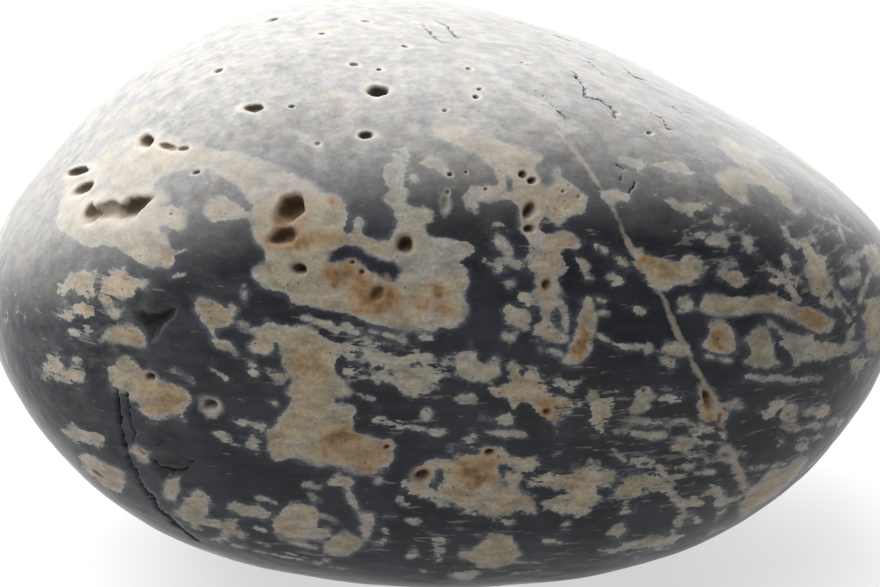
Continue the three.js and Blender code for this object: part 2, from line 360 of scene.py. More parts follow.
    (0.1, WORN, [(562, 522), (568, 520), (570, 524), (564, 527)]),
    (0.1, SPECKLED, [(434, 541), (440, 536), (446, 540), (441, 546), (443, 553), (438, 562), (434, 552)]),
    (0.1, WORN, [(381, 531), (386, 529), (390, 536), (386, 539)]),
    (0.1, WORN, [(374, 546), (382, 541), (388, 544), (380, 549)]),
    (0.1, WORN, [(407, 557), (414, 554), (419, 558), (410, 561)]),
    (0.2, WORN, [(449, 577), (456, 573), (466, 575), (476, 572), (483, 575), (476, 580), (462, 582)]),
    (0.1, WORN, [(315, 563), (324, 558), (331, 560), (322, 565)]),
    (0.1, WORN, [(303, 486), (312, 486), (320, 491), (313, 493)]),
    (0.1, WORN, [(305, 494), (313, 495), (320, 502), (311, 502)]),
]

# Dark rock that shows through a patch.
GAPS = [
    [(325, 257), (333, 249), (345, 243), (358, 246), (367, 254), (383, 258), (397, 262), (402, 270),
     (397, 281), (386, 282), (376, 275), (366, 267), (352, 261), (339, 261), (330, 265)],
    [(437, 469), (441, 468), (444, 483), (437, 489), (429, 488), (430, 484), (435, 479)],
    [(497, 465), (508, 464), (518, 469), (506, 473), (505, 483), (500, 482), (498, 473)],
    [(507, 174), (512, 173), (512, 190), (507, 191)],
]

# Thin dashes of cream along the bedding: both ends in pixels, and the width in pixels.
DASHES = [
    ((690, 238), (700, 236), 5), ((712, 240), (728, 243), 5), ((745, 236), (757, 250), 5),
    ((786, 228), (800, 246), 5), ((815, 212), (850, 228), 6), ((838, 215), (846, 240), 5),
    ((850, 262), (868, 250), 6), ((846, 282), (862, 275), 6), ((838, 300), (852, 318), 5),
    ((862, 300), (872, 270), 6), ((770, 262), (778, 272), 4), ((790, 275), (800, 280), 4),
    ((173, 371), (191, 383), 3), ((212, 370), (226, 379), 4), ((172, 277), (183, 275), 3),
    ((176, 253), (188, 249), 3), ((256, 500), (275, 504), 3), ((256, 529), (264, 531), 4),
    ((256, 543), (268, 546), 4), ((283, 552), (295, 555), 3), ((232, 546), (300, 559), 3),
    ((266, 400), (274, 404), 3), ((372, 332), (403, 340), 4), ((376, 342), (400, 347), 4),
    ((392, 426), (423, 430), 3), ((483, 418), (498, 419), 2), ((487, 433), (502, 434), 3),
    ((503, 434), (513, 434), 6), ((516, 435), (523, 435), 3), ((449, 450), (450, 450), 4),
    ((398, 500), (402, 499), 4), ((406, 506), (409, 505), 4), ((440, 504), (448, 505), 4),
    ((466, 512), (476, 514), 3), ((546, 541), (561, 543), 3), ((389, 518), (395, 518), 3),
    ((405, 521), (420, 522), 3), ((514, 565), (544, 566), 3), ((515, 577), (543, 574), 4),
    ((554, 577), (577, 575), 5), ((423, 573), (427, 578), 4), ((328, 568), (342, 571), 3),
    ((290, 541), (315, 548), 4), ((320, 517), (334, 523), 3), ((687, 235), (704, 236), 4),
    ((710, 357), (720, 359), 4), ((720, 359), (731, 361), 4), ((601, 337), (611, 343), 4),
    ((611, 343), (630, 348), 3), ((748, 377), (760, 378), 3), ((765, 380), (783, 379), 5),
    ((787, 380), (800, 380), 4), ((803, 379), (822, 379), 3), ((798, 365), (802, 365), 4),
    ((616, 452), (625, 462), 4), ((679, 423), (688, 424), 4), ((681, 442), (722, 444), 4),
    ((679, 448), (689, 448), 7), ((689, 456), (712, 462), 5), ((712, 462), (729, 460), 5),
    ((752, 468), (787, 464), 3), ((633, 461), (655, 463), 4), ((640, 468), (650, 468), 4),
    ((660, 467), (671, 470), 4), ((679, 468), (694, 468), 6), ((697, 474), (714, 473), 5),
    ((680, 478), (687, 477), 4), ((802, 439), (825, 437), 2), ((637, 557), (645, 560), 4),
    ((838, 293), (857, 314), 3), ((600, 300), (606, 301), 3), ((640, 310), (646, 311), 5),
    ((597, 246), (606, 250), 4), ((582, 262), (590, 276), 7), ((611, 278), (620, 279), 5),
    ((622, 260), (630, 266), 7), ((614, 284), (620, 283), 6), ((508, 283), (512, 284), 6),
    ((498, 225), (508, 228), 4), ((505, 336), (512, 340), 5), ((541, 348), (548, 350), 3),
    ((551, 350), (562, 353), 5), ((302, 318), (315, 321), 3), ((318, 322), (328, 324), 5),
    ((332, 329), (336, 330), 6), ((346, 327), (354, 331), 8), ((420, 338), (431, 339), 4),
    ((600, 312), (610, 313), 3), ((726, 262), (739, 263), 4), ((772, 270), (783, 273), 5),
    ((786, 280), (797, 283), 4), ((773, 280), (779, 281), 5), ((791, 288), (800, 300), 8),
    ((770, 322), (778, 327), 4), ((780, 328), (784, 335), 4), ((826, 300), (834, 304), 8),
]

# Thin dashes of dark rock inside the pale speckled patch, in the same way.
DARK_DASHES = [
    ((357, 345), (368, 346), 4), ((372, 348), (383, 350), 4), ((343, 364), (351, 364), 3),
    ((355, 363), (366, 365), 4), ((378, 369), (389, 372), 5), ((357, 373), (367, 373), 4),
    ((369, 376), (378, 377), 4), ((413, 363), (419, 363), 3), ((352, 354), (362, 355), 3),
]

# The pale vein's course across the front, and half its width.
VEIN = [
    (556, 130), (579, 156), (596, 178), (613, 205), (630, 242), (643, 262), (657, 284), (666, 300),
    (674, 320), (684, 342), (694, 362), (708, 388), (722, 418), (733, 452), (742, 478), (748, 498)]
VEIN_HALF_WIDTH = 0.24

# Iron stains: the middle in pixels, the radii across and down, and how strong each is.
STAINS = [
    (285, 213, 38, 24, 0.6), (300, 238, 50, 17, 0.95), (340, 273, 30, 19, 1.0), (362, 287, 26, 16, 0.9),
    (378, 299, 32, 23, 1.1), (421, 304, 13, 9, 0.95), (437, 294, 13, 9, 0.95), (444, 311, 16, 12, 0.8),
    (402, 243, 16, 10, 0.4), (334, 198, 10, 8, 0.9), (318, 220, 9, 5, 0.4), (340, 440, 28, 17, 1.0),
    (324, 454, 12, 9, 0.9), (372, 448, 12, 8, 0.5), (385, 448, 7, 7, 0.7), (474, 473, 30, 18, 1.2),
    (488, 453, 18, 10, 1.0), (422, 477, 13, 10, 0.75), (584, 342, 12, 28, 1.15), (472, 365, 8, 6, 0.4),
    (548, 412, 11, 10, 0.9), (644, 259, 13, 11, 0.85), (704, 301, 8, 9, 0.6), (818, 318, 16, 11, 0.85),
    (721, 340, 15, 13, 0.95), (760, 347, 12, 16, 0.35), (711, 403, 11, 20, 1.05), (722, 419, 5, 8, 0.8),
    (592, 392, 8, 6, 0.55), (646, 391, 8, 6, 0.5), (523, 311, 13, 8, 0.85), (125, 276, 14, 12, 0.35),
    (124, 338, 14, 8, 0.4), (110, 158, 40, 24, 0.2), (97, 475, 14, 8, 0.5), (530, 220, 10, 12, 0.4),
    (548, 287, 7, 9, 0.6), (690, 346, 8, 8, 0.6), (865, 330, 10, 12, 0.5), (200, 318, 14, 12, 0.25),
    (550, 240, 20, 8, 0.3),
]

# Where a pale brown veil clouds the dark rock, in the same way.
VEILED = [
    (95, 325, 100, 110, 1.0), (60, 430, 60, 60, 0.7), (215, 260, 50, 50, 0.6), (150, 450, 60, 60, 0.5),
    (240, 380, 60, 50, 0.35), (480, 240, 60, 40, 0.4), (640, 230, 70, 50, 0.35), (720, 480, 110, 60, 0.3),
    (800, 300, 70, 120, 0.5), (360, 330, 60, 14, 0.5), (600, 420, 90, 40, 0.3),
]

# Where cream is greyer than the rest of its patch, in the same way.
GREYED = [
    (432, 262, 48, 26, 0.6), (400, 195, 22, 46, 0.6), (330, 250, 20, 12, 0.3), (255, 270, 16, 30, 0.4),
    (455, 320, 24, 14, 0.3), (110, 240, 40, 14, 0.3),
]

# Borings: the mouth's middle in pixels, its length and width, its depth, how far its long side is turned
# up from level in degrees, and how brown it is inside.
BORINGS = [
    (290, 208, 3.4, 2.8, 2.4, 60, 0.9), (283, 236, 2.9, 1.7, 1.7, 20, 0.9),
    (130, 205, 5.2, 2.2, 1.7, 40, 0.6), (86, 213, 3.4, 1.9, 1.2, -25, 0.6),
    (144, 139, 2.6, 1.6, 1.5, 0, 0.7), (75, 170, 4.8, 1.3, 1.1, 30, 0.6),
    (77, 188, 3.2, 1.9, 1.1, 50, 0.6), (110, 211, 7.5, 2.6, 0.7, 8, 0.3),
    (298, 268, 1.8, 1.4, 1.7, 0, 0.3), (405, 244, 2.0, 1.8, 1.9, 0, 0.5),
    (377, 294, 2.2, 1.5, 0.8, 60, 0.9), (377, 88, 2.1, 1.8, 1.8, 0, 0.4),
    (365, 133, 1.4, 1.1, 1.0, 0, 0.6), (252, 107, 2.2, 1.3, 0.9, 15, 0.6),
    (530, 210, 2.1, 1.3, 1.4, 60, 0.5), (530, 228, 1.2, 0.9, 1.0, 0, 0.4),
    (209, 405, 1.4, 1.2, 1.3, 0, 0.2), (422, 477, 1.8, 1.3, 1.4, 15, 0.9),
    (490, 453, 1.2, 0.8, 0.9, 0, 0.9), (711, 401, 2.6, 0.9, 1.0, -65, 0.9),
    (148, 378, 1.1, 0.9, 1.0, 0, 0.3), (547, 286, 1.0, 1.3, 0.9, 0, 0.8),
    (352, 262, 0.6, 0.5, 0.5, 0, 0.6), (361, 272, 0.6, 0.6, 0.6, 0, 0.6),
    (523, 174, 1.0, 0.8, 0.9, 0, 0.4), (533, 180, 1.1, 0.8, 0.9, 15, 0.4),
    (450, 174, 0.6, 0.5, 0.6, 0, 0.4), (466, 172, 0.4, 0.4, 0.4, 0, 0.3),
    (386, 449, 0.7, 0.6, 0.6, 30, 0.8), (548, 412, 0.9, 0.7, 0.6, 0, 0.9),
    (722, 420, 0.5, 1.2, 0.5, 0, 0.9), (97, 474, 1.6, 0.8, 0.8, -25, 0.7),
    (166, 146, 3.6, 0.9, 0.6, 4, 0.7), (182, 148, 1.6, 0.7, 0.5, 25, 0.7),
    (195, 172, 1.1, 0.6, 0.5, 30, 0.3), (290, 105, 0.9, 0.6, 0.5, 15, 0.2),
    (476, 96, 0.8, 0.9, 0.6, 0, 0.2), (480, 88, 0.7, 0.6, 0.4, 0, 0.2),
    (270, 17, 2.6, 1.6, 0.6, -10, 0.3), (217, 70, 1.1, 1.0, 0.5, 0, 0.5),
    (320, 30, 0.8, 0.9, 0.4, 0, 0.2), (404, 43, 0.7, 1.0, 0.5, 0, 0.2),
    (353, 61, 1.2, 0.8, 0.4, -20, 0.2), (378, 66, 0.7, 0.7, 0.5, 0, 0.2),
    (445, 109, 0.7, 0.5, 0.4, 0, 0.3), (469, 67, 0.7, 0.8, 0.4, 0, 0.2), (522, 62, 0.5, 0.6, 0.4, 0, 0.2),
    (364, 17, 1.4, 1.0, 0.4, -10, 0.2), (316, 142, 0.6, 0.6, 0.3, 40, 0.3),
    (787, 148, 1.2, 0.6, 0.4, -20, 0.2), (594, 53, 0.6, 0.8, 0.3, 0, 0.3),
    (651, 132, 1.0, 0.6, 0.4, -10, 0.1), (616, 112, 0.9, 0.9, 0.4, 0, 0.1),
    (646, 391, 0.5, 0.4, 0.4, 0, 0.6), (791, 415, 0.4, 0.4, 0.4, 0, 0.6),
    (721, 340, 0.5, 0.5, 0.3, 0, 0.9), (486, 189, 0.4, 0.4, 0.4, 0, 0.5),
    (564, 191, 0.5, 0.4, 0.3, 0, 0.5), (580, 196, 0.4, 0.4, 0.3, 0, 0.4),
    (445, 203, 0.7, 1.4, 0.3, 0, 0.0), (448, 192, 0.5, 0.7, 0.3, 0, 0.0), (3, 317, 0.7, 0.9, 0.5, 0, 0.4),
    (15, 310, 0.4, 0.5, 0.3, 0, 0.3), (23, 316, 0.4, 0.4, 0.3, 0, 0.3), (13, 293, 0.4, 0.4, 0.3, 0, 0.3),
    (170, 214, 0.4, 0.4, 0.3, 0, 0.3),
]

# Cracks: the course in pixels, the groove's half width and its depth.
CRACKS = [
    ([(116, 392), (117, 410), (119, 427), (124, 450), (134, 470), (146, 492), (160, 511), (178, 528),
      (195, 540)], 0.18, 0.7),
    ([(124, 393), (127, 408), (130, 424), (132, 441), (141, 452), (150, 460)], 0.13, 0.5),
    ([(151, 460), (160, 468), (170, 471), (181, 471), (193, 463)], 0.15, 0.55),
    ([(152, 448), (163, 440)], 0.1, 0.25),
    ([(575, 73), (581, 85), (587, 97), (600, 100), (613, 109), (616, 117)], 0.13, 0.35),
    ([(536, 91), (547, 99), (555, 108), (565, 118)], 0.1, 0.25),
    ([(424, 23), (432, 33), (441, 40)], 0.14, 0.3),
    ([(437, 17), (448, 24), (458, 36)], 0.14, 0.3),
    ([(588, 60), (600, 70), (608, 76)], 0.1, 0.2),
    ([(626, 69), (634, 76), (645, 80)], 0.14, 0.3),
    ([(653, 113), (664, 118), (670, 128)], 0.1, 0.25),
    ([(674, 106), (684, 113)], 0.1, 0.2),
    ([(617, 163), (625, 168), (623, 180)], 0.09, 0.3),
    ([(637, 183), (632, 191)], 0.12, 0.3),
    ([(576, 540), (584, 528)], 0.07, 0.12),
]

# Chips with sharp rims: the outline in pixels, and how deep the hollow may get.
CHIPS = [
    ([(132, 312), (139, 308), (146, 312), (158, 311), (170, 306), (177, 308), (171, 318), (163, 326),
      (158, 335), (150, 345), (146, 338), (138, 328)], 1.2),
    ([(156, 466), (163, 470), (171, 472), (165, 482), (160, 477)], 0.4),
]

# Where flecks crowd in the dark rock, in the same way as the stains.
FLECKED = [
    (720, 240, 90, 60, 0.8), (640, 450, 110, 60, 0.9), (330, 545, 120, 30, 0.7), (330, 330, 60, 16, 0.8),
    (600, 390, 70, 40, 0.7), (820, 260, 60, 80, 0.9), (440, 540, 120, 40, 0.6), (90, 330, 60, 40, 0.6),
    (560, 560, 120, 24, 0.6), (540, 250, 40, 50, 0.5), (800, 400, 60, 50, 0.7), (300, 120, 120, 40, 0.5),
    (400, 420, 60, 20, 0.6), (470, 70, 160, 60, 0.5),
]

# A number too small to matter, which keeps a division from failing.
TINY = 1e-12


def unit_direction(azimuth, elevation):
    """The unit vector at an azimuth and an elevation in degrees."""
    around = math.radians(azimuth)
    up = math.radians(elevation)
    return np.array([math.cos(around) * math.cos(up), math.sin(around) * math.cos(up), math.sin(up)])


FLAT_NORMALS = np.array([unit_direction(azimuth, elevation) for azimuth, elevation, _ in FLATS.values()])
FLAT_DISTANCES = np.array([distance for _, _, distance in FLATS.values()])


def reach(points):
    """How far out points lie: under one inside the worn stone, one on its surface."""
    round_part = np.linalg.norm(points / HALF_AXES, axis=-1)
    flat_parts = np.maximum(points @ FLAT_NORMALS.T, 0) / FLAT_DISTANCES
    total = round_part**EDGE_SHARPNESS + (flat_parts**EDGE_SHARPNESS).sum(axis=-1)
    return total ** (1 / EDGE_SHARPNESS)


def on_surface(directions):
    """The points of the worn stone that lie in these directions from its centre."""
    return directions / reach(directions)[..., None]


def outward(points):
    """The worn stone's unit normals at points on its surface."""
    round_part = np.linalg.norm(points / HALF_AXES, axis=-1, keepdims=True)
    flat_parts = np.maximum(points @ FLAT_NORMALS.T, 0) / FLAT_DISTANCES
    slopes = round_part ** (EDGE_SHARPNESS - 2) * points / HALF_AXES**2
    slopes = slopes + (flat_parts ** (EDGE_SHARPNESS - 1) / FLAT_DISTANCES) @ FLAT_NORMALS
    return slopes / np.linalg.norm(slopes, axis=-1, keepdims=True)


# The camera's axes and place about the stone's centre, and its focal length in pixels.
FORWARD = -unit_direction(-90, VIEW_ELEVATION)
RIGHT = np.array([1.0, 0.0, 0.0])
UP = np.cross(RIGHT, FORWARD)
EYE = VIEW_TARGET - FORWARD * VIEW_DISTANCE
FOCAL = LENS / SENSOR * PICTURE_WIDTH

# How often the search for the point at a pixel halves its range.
SEARCH_STEPS = 50


def to_picture(points):
    """Where points show in the picture, in pixels."""
    offsets = points - EYE
    depth = offsets @ FORWARD
    across = PICTURE_WIDTH / 2 + FOCAL * (offsets @ RIGHT) / depth
    down = PICTURE_HEIGHT / 2 - FOCAL * (offsets @ UP) / depth
    return np.stack([across, down], axis=-1)


def from_picture(spot):
    """The point of the worn stone that shows at a pixel, or the nearest one if the pixel misses it."""
    across = spot[0] - PICTURE_WIDTH / 2
    down = spot[1] - PICTURE_HEIGHT / 2
    ray = FORWARD + RIGHT * across / FOCAL - UP * down / FOCAL
    ray = ray / np.linalg.norm(ray)
    near = 0.0
    far = -EYE @ ray
    closest = EYE + far * ray
    if reach(closest) >= 1:
        return closest / reach(closest)
    for _ in range(SEARCH_STEPS):
        middle = (near + far) / 2
        if reach(EYE + middle * ray) < 1:
            far = middle
        else:
            near = middle
    return EYE + far * ray


def course_in_picture(spots):
    """The points of the worn stone that show at the pixels of a course."""
    return np.array([from_picture(spot) for spot in spots])


def smooth_step(values, low, high):
    """Rises smoothly from 0 where the values are low to 1 where they are high."""
    share = np.clip((values - low) / (high - low), 0, 1)
    return share * share * (3 - 2 * share)


def segment_distance(points, start, end):
    """Distance of points from a straight piece."""
    course = end - start
    share = np.clip((points - start) @ course / max(course @ course, TINY), 0, 1)
    return np.linalg.norm(points - start - share[:, None] * course, axis=1)


def course_distance(points, corners):
    """Distance of points from a course of straight pieces."""
    nearest = np.full(len(points), np.inf)
    for start, end in zip(corners[:-1], corners[1:]):
        nearest = np.minimum(nearest, segment_distance(points, start, end))
    return nearest


def inside_outline(spots, outline):
    """How far inside a closed outline spots lie. It is negative outside."""
    starts = np.array(outline, float)
    ends = np.roll(starts, -1, axis=0)
    nearest = np.full(len(spots), np.inf)
    inside = np.zeros(len(spots), bool)
    for start, end in zip(starts, ends):
        nearest = np.minimum(nearest, segment_distance(spots, start, end))
        spans = (start[1] > spots[:, 1]) != (end[1] > spots[:, 1])
        rise = end[1] - start[1] or TINY
        crossing = start[0] + (spots[:, 1] - start[1]) * (end[0] - start[0]) / rise
        inside ^= spans & (spots[:, 0] < crossing)
    return np.where(inside, nearest, -nearest)


# How quickly the finer layers of solid noise fade, and how much finer each is than the one before.
LAYER_FADE = 0.8
LAYER_FINENESS = 2.1


def fractal(points, size, layers, seed):
    """Solid noise about zero, with features of this size along each axis."""
    scaled = points / np.array(size) + seed
    return np.array([noise.fractal(spot, LAYER_FADE, LAYER_FINENESS, layers) for spot in scaled])


# How far a point counts as being from a boring that it is nowhere near, in mouths.
FAR_SPREAD = 9.0


class Boring:
    """One boring: its mouth on the stone, its own axes and its sizes."""

    def __init__(self, middle, long, wide, deep, turn, brown):
        self.middle = middle
        self.long = long
        self.wide = wide
        self.deep = deep
        self.brown = brown
        normal = outward(middle)
        level = np.cross(np.array([0.0, 0.0, 1.0]), normal)
        level = level / max(np.linalg.norm(level), TINY)
        up = np.cross(normal, level)
        angle = math.radians(turn)
        self.along = level * math.cos(angle) + up * math.sin(angle)
        self.across = up * math.cos(angle) - level * math.sin(angle)
        # The way to the boring's upper left as it is seen from outside, where its painted shade is darkest.
        self.shaded = up * 0.8 - level * 0.6

    def spread(self, points):
        """How far points lie from the middle: one at the mouth's edge."""
        offsets = points - self.middle
        along = offsets @ self.along / (self.long / 2)
        across = offsets @ self.across / (self.wide / 2)
        near = np.linalg.norm(offsets, axis=1) < self.long * 2
        return np.where(near, np.hypot(along, across), FAR_SPREAD)

    def painted_shade(self, points):
        """How strongly shade is painted at points: most on the boring's upper left side, which faces away
        from the light.
        """
        return smooth_step((points - self.middle) @ self.shaded / (self.wide / 2), -0.9, 0.4)


# Borings on the sides that the picture doesn't show: how many there are, the seed of the draw that
# places them, how long small and large ones are, and the share of small ones.
HIDDEN_BORINGS = 26
HIDDEN_SEED = 7
SMALL_LENGTHS = (0.5, 1.2)
LARGE_LENGTHS = (1.4, 2.8)
SMALL_SHARE = 0.65

# How far a hidden boring at least faces away from the camera, and how low it may lie.
LEAST_HIDDEN = 0.15
LOWEST_BORING = -24


def hidden_borings():
    """Borings scattered over the sides that the picture doesn't show."""
    draw = np.random.default_rng(HIDDEN_SEED)
    made = []
    while len(made) < HIDDEN_BORINGS:
        direction = draw.normal(size=3)
        direction = direction / np.linalg.norm(direction)
        lengths = SMALL_LENGTHS if draw.random() < SMALL_SHARE else LARGE_LENGTHS
        long = draw.uniform(*lengths)
        wide = long * draw.uniform(0.6, 0.95)
        deep = long * draw.uniform(0.4, 0.7)
        turn = draw.uniform(-40, 60)
        brown = draw.uniform(0.2, 0.9)
        middle = on_surface(direction)
        if outward(middle) @ FORWARD > LEAST_HIDDEN and middle[2] > LOWEST_BORING:
            made.append(Boring(middle, long, wide, deep, turn, brown))
    return made


# Cracks on the hidden sides: the way to each corner of the course, as azimuth and elevation.
HIDDEN_CRACKS = [
    [(62, -18), (68, -6), (71, 6), (79, 15), (82, 26)],
    [(118, 30), (124, 38), (122, 48), (131, 55)],
    [(150, -10), (153, -20), (161, -27)],
    [(30, 52), (42, 58), (58, 60)],
]
HIDDEN_CRACK_HALF_WIDTH = 0.12
HIDDEN_CRACK_DEPTH = 0.35


def hidden_crack(course):
    """A crack's corners on the stone, its half width and its depth."""
    corners = np.array([on_surface(unit_direction(*way)) for way in course])
    return corners, HIDDEN_CRACK_HALF_WIDTH, HIDDEN_CRACK_DEPTH


def placed_dashes(rows):
    """The ends of dashes on the stone, and their half widths."""
    return [(from_picture(start), from_picture(end), width / PIXELS_PER_MM / 2) for start, end, width in rows]


borings = [Boring(from_picture(row[:2]), *row[2:]) for row in BORINGS] + hidden_borings()
cracks = [(course_in_picture(course), half, deep) for course, half, deep in CRACKS]
cracks += [hidden_crack(course) for course in HIDDEN_CRACKS]
vein = course_in_picture(VEIN)
dashes = placed_dashes(DASHES)
dark_dashes = placed_dashes(DARK_DASHES)

# How long the mesh's edges may be: on the sides that show, on the hidden ones, along dashes and the vein,
# and at borings and cracks. A wide boring's edges may be longer, up to so many times.
SHOWN_EDGE = 0.56
HIDDEN_EDGE = 1.2
DASH_EDGE = 0.3
FINE_EDGE = 0.17
WIDE_BORING_FACTOR = 1.6

# How far round those the mesh stays fine, in millimetres, and round chips, in pixels.
DASH_MARGIN = 0.15
BORING_MARGIN = 0.5
CRACK_MARGIN = 0.25
CHIP_MARGIN = 2

# Into how many pieces the first sphere's edges are cut, and how often long edges are then halved.
SPHERE_FREQUENCY = 25
SPLIT_PASSES = 8


def facing(points):
    """One where the stone squarely faces the camera, and negative where it faces away."""
    to_eye = EYE - points
    to_eye = to_eye / np.linalg.norm(to_eye, axis=1, keepdims=True)
    return (outward(points) * to_eye).sum(axis=1)


def longest_edge(points):
    """How long a mesh edge may be at each point."""
    share = smooth_step(facing(points), -0.02, 0.12)
    longest = HIDDEN_EDGE + (SHOWN_EDGE - HIDDEN_EDGE) * share
    for start, end, half in dashes + dark_dashes:
        near = segment_distance(points, start, end) < half + DASH_MARGIN
        longest[near] = np.minimum(longest[near], DASH_EDGE)
    longest[course_distance(points, vein) < VEIN_HALF_WIDTH + DASH_MARGIN] = DASH_EDGE
    for boring in borings:
        near = boring.spread(points) < 1.0 + BORING_MARGIN / boring.wide
        edge = FINE_EDGE * max(1.0, min(WIDE_BORING_FACTOR, boring.wide))
        longest[near] = np.minimum(longest[near], edge)
    for corners, half, _ in cracks:
        longest[course_distance(points, corners) < half + CRACK_MARGIN] = FINE_EDGE
    spots = to_picture(points)
    for outline, _ in CHIPS:
        near = (inside_outline(spots, outline) > -CHIP_MARGIN) & (share > 0)
        longest[near] = np.minimum(longest[near], DASH_EDGE)
    return longest


def geodesic_sphere(frequency):
    """Unit directions and triangles of an icosahedron whose edges are cut into equal pieces."""
    golden = (1 + math.sqrt(5)) / 2
    corners = []
    for a in (-1, 1):
        for b in (-golden, golden):
            corners += [(0, a, b), (a, b, 0), (b, 0, a)]
    corners = np.array(corners, float)
    # Corners that share an edge of this icosahedron lie two apart.
    joined = np.isclose(np.linalg.norm(corners[:, None] - corners[None], axis=2), 2)
    directions = []
    triangles = []
    for a, b, c in combinations(range(len(corners)), 3):
        if joined[a, b] and joined[b, c] and joined[a, c]:
            turned = np.linalg.det(corners[[a, b, c]]) < 0
            face = corners[[a, c, b]] if turned else corners[[a, b, c]]
            add_face(face, frequency, directions, triangles)
    directions = np.array(directions)
    directions = directions / np.linalg.norm(directions, axis=1, keepdims=True)
    _, first, same = np.unique(directions.round(6), axis=0, return_index=True, return_inverse=True)
    return directions[first], same.reshape(-1)[np.array(triangles)]


def add_face(face, frequency, directions, triangles):
    """Cuts one face of the icosahedron into a grid of triangles."""
    rows = []
    for i in range(frequency + 1):
        row = []
        for j in range(frequency + 1 - i):
            row.append(len(directions))
            directions.append((face[0] * (frequency - i - j) + face[1] * i + face[2] * j) / frequency)
        rows.append(row)
    for i in range(frequency):
        for j in range(frequency - i):
            triangles.append((rows[i][j], rows[i + 1][j], rows[i][j + 1]))
            if j < frequency - i - 1:
                triangles.append((rows[i + 1][j], rows[i + 1][j + 1], rows[i][j + 1]))


def split_long_edges(directions, triangles, fresh):
    """Halves the fresh triangles' edges that are longer than they may be, and cuts the triangles on them."""
    pairs = np.sort(triangles[:, [0, 1, 1, 2, 2, 0]].reshape(-1, 2), axis=1)
    keys, which = np.unique(pairs[:, 0] * len(directions) + pairs[:, 1], return_inverse=True)
    edges = np.stack(np.divmod(keys, len(directions)), axis=1)
    which = which.reshape(-1, 3)
    tried = np.unique(which[fresh])
    ends = on_surface(directions[edges[tried]])
    lengths = np.linalg.norm(ends[:, 0] - ends[:, 1], axis=1)
    middles = directions[edges[tried]].sum(axis=1)
    middles = middles / np.linalg.norm(middles, axis=1, keepdims=True)
    split = lengths > longest_edge(on_surface(middles))
    number = np.full(len(edges), -1)
    number[tried[split]] = len(directions) + np.arange(split.sum())
    directions = np.vstack([directions, middles[split]])
    kept, made = cut_triangles(triangles, number[which])
    fresh = np.arange(len(kept) + len(made)) >= len(kept)
    return directions, np.vstack([kept, made]), fresh


def cut_triangles(triangles, middle):
    """The triangles that stay whole, and the pieces of the others. Middles are -1 on edges not halved."""
    halved = middle >= 0
    count = halved.sum(axis=1)
    # Where all three edges are halved there are four pieces.
    a, b, c = triangles[count == 3].T
    ab, bc, ca = middle[count == 3].T
    pieces = [(a, ab, ca), (ab, b, bc), (ca, bc, c), (ab, bc, ca)]
    # Where one edge is halved there are two, and where two are there are three.
    for turn in range(3):
        order = [turn, (turn + 1) % 3, (turn + 2) % 3]
        first, second, third = (halved[:, k] for k in order)
        one = first & ~second & ~third
        a, b, c = triangles[one][:, order].T
        ab = middle[one][:, turn]
        pieces += [(a, ab, c), (ab, b, c)]
        two = first & second & ~third
        a, b, c = triangles[two][:, order].T
        ab = middle[two][:, order[0]]
        bc = middle[two][:, order[1]]
        pieces += [(ab, b, bc), (a, ab, bc), (a, bc, c)]
    made = np.vstack([np.stack(piece, axis=1) for piece in pieces])
    return triangles[count == 0], made


def relax(directions, triangles):
    """Moves each direction halfway to the middle of its neighbours."""
    total = np.zeros_like(directions)
    count = np.zeros(len(directions))
    for a, b in ((0, 1), (1, 2), (2, 0)):
        for here, there in ((a, b), (b, a)):
            np.add.at(total, triangles[:, here], directions[triangles[:, there]])
            np.add.at(count, triangles[:, here], 1)
    moved = directions + total / count[:, None]
    return moved / np.linalg.norm(moved, axis=1, keepdims=True)


def stone_mesh():
    """Unit directions and triangles, close together where the stone has fine detail."""
    directions, triangles = geodesic_sphere(SPHERE_FREQUENCY)
    fresh = np.ones(len(triangles), bool)
    for _ in range(SPLIT_PASSES):
        directions, triangles, fresh = split_long_edges(directions, triangles, fresh)
    return relax(directions, triangles), triangles


# How far cracks stray from their straight courses, and the size of their jags.
CRACK_STRAY = 0.3
CRACK_JAG = 0.9


def jagged(points):
    """Points shifted a little, this way and that, so that a straight crack measured from them is jagged."""
    shifts = [fractal(points, CRACK_JAG, 3, seed) for seed in (131.0, 151.0, 173.0)]
    return points + CRACK_STRAY * np.stack(shifts, axis=1)


def groove(points, corners, half):
    """A groove's profile: one along its course, and little beyond its half width."""
    return np.exp(-((course_distance(points, corners) / half) ** 2))


# How deep the soft swells of the surface are, and the shallow knocks on it.
SWELL_DEPTH = 0.35
KNOCK_DEPTH = 0.06

# How ragged the borings' rims are, and how much of their depth is carved below the swells.
RIM_RAGGEDNESS = 0.35
CARVED_SHARE = 0.75

# How steeply a chip's hollow falls from its rim.
CHIP_SLOPE = 1.3


def carve_borings(points):
    """How deep the borings are at points, and the fields that their colours and their painted shade need."""
    ragged_rim = fractal(points, 1.5, 2, 23.0)
    depth = np.zeros(len(points))
    bored_and_shaded = np.zeros(len(points))
    brown = np.zeros(len(points))
    ring = np.zeros(len(points))
    for boring in borings:
        spread = boring.spread(points) * (1 + RIM_RAGGEDNESS * ragged_rim)
        wall = 1 - smooth_step(spread, 0.3, 1.08)
        depth = depth + CARVED_SHARE * boring.deep * wall
        # Painted shade: the inside of each boring is darkened, most on its upper left and more in deeper
        # borings.
        shaded_side = (1 - smooth_step(spread, 0.7, 1.05)) * boring.painted_shade(points)
        shade_strength = min(1, 0.25 + 0.75 * boring.deep)
        bored_and_shaded = np.maximum(bored_and_shaded, np.maximum(0.6 * wall, shaded_side) * shade_strength)
        brown = np.maximum(brown, boring.brown * (1 - smooth_step(spread, 0.9, 1.5)))
        ring = np.maximum(ring, 1 - smooth_step(spread, 1.1, 1.9))
    return depth, {"bored_and_shaded": bored_and_shaded, "brown": brown, "ring": ring}


